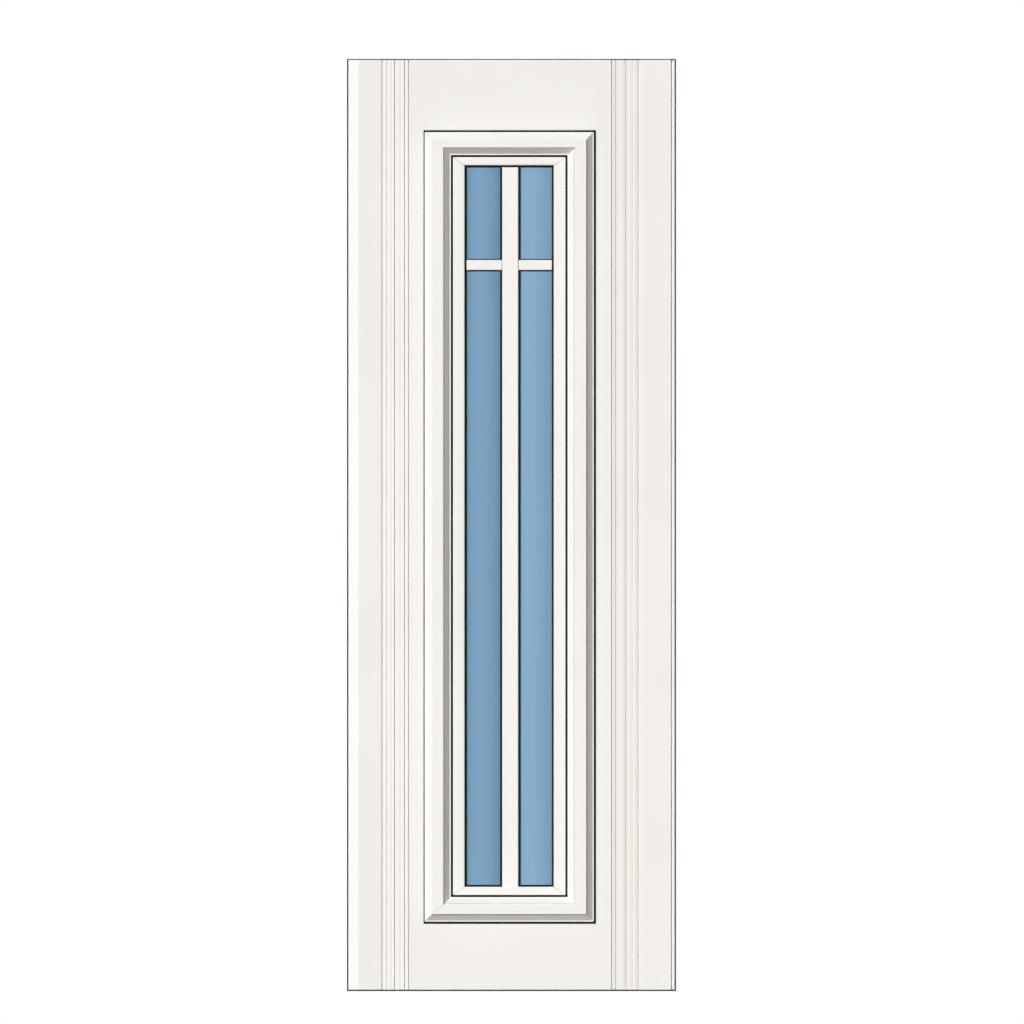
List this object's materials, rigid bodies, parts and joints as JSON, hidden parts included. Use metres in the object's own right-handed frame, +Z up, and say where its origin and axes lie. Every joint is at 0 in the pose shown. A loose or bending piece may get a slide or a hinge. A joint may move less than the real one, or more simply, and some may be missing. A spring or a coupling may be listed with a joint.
{
  "type": "glazed door leaf",
  "caption": "White glazed door leaf with reeded bands, a mitred raised moulding and a tall narrow blue light with glazing bars.",
  "frame": {"origin": "on the flat hinge edge of the leaf, halfway up and halfway through its thickness", "axes": "+Z up along the leaf's height, +X out of the hinge edge so the leaf reaches to -X, front face towards -Y"},
  "size_m": [0.72, 0.087, 2.04],
  "materials": {
    "facing_paint": "satin white paint on a moulded fibreboard facing",
    "lipping_paint": "satin white paint on solid timber",
    "moulding_paint": "satin white paint on a timber moulding",
    "glazing_paint": "satin white paint on timber beads and bars",
    "blue_glass": "smooth mid-blue tinted float glass",
    "black_rubber": "matt black seal",
    "edge_band_black": "matt black edge band",
    "spacer_metal": "mill finish",
    "core_timber": "planed softwood",
    "core_foam": "rigid insulating foam"
  },
  "bodies": {
    "root": {"back_bottom_bead": "glazing_paint", "back_bottom_moulding": "moulding_paint", "back_cross_bars": "glazing_paint", "back_glass_pane": "blue_glass", "back_glazing_gasket": "black_rubber", "back_inner_seal": "black_rubber", "back_left_bead": "glazing_paint", "back_left_moulding": "moulding_paint", "back_moulding_gasket": "black_rubber", "back_mullion": "glazing_paint", "back_right_bead": "glazing_paint", "back_right_moulding": "moulding_paint", "back_skin": "facing_paint", "back_top_bead": "glazing_paint", "back_top_moulding": "moulding_paint", "bottom_edge_band": "edge_band_black", "bottom_rail": "core_timber", "end_linings": "core_timber", "front_bottom_bead": "glazing_paint", "front_bottom_moulding": "moulding_paint", "front_cross_bars": "glazing_paint", "front_glass_pane": "blue_glass", "front_glazing_gasket": "black_rubber", "front_inner_seal": "black_rubber", "front_left_bead": "glazing_paint", "front_left_moulding": "moulding_paint", "front_moulding_gasket": "black_rubber", "front_mullion": "glazing_paint", "front_right_bead": "glazing_paint", "front_right_moulding": "moulding_paint", "front_skin": "facing_paint", "front_top_bead": "glazing_paint", "front_top_moulding": "moulding_paint", "glass_spacer": "spacer_metal", "hinge_edge_band": "edge_band_black", "hinge_edge_lipping": "lipping_paint", "hinge_side_core": "core_foam", "hinge_stile": "core_timber", "lock_edge_band": "edge_band_black", "lock_edge_lipping": "lipping_paint", "lock_side_core": "core_foam", "lock_stile": "core_timber", "side_linings": "core_timber", "top_edge_band": "edge_band_black", "top_rail": "core_timber"}
  },
  "joints": []
}
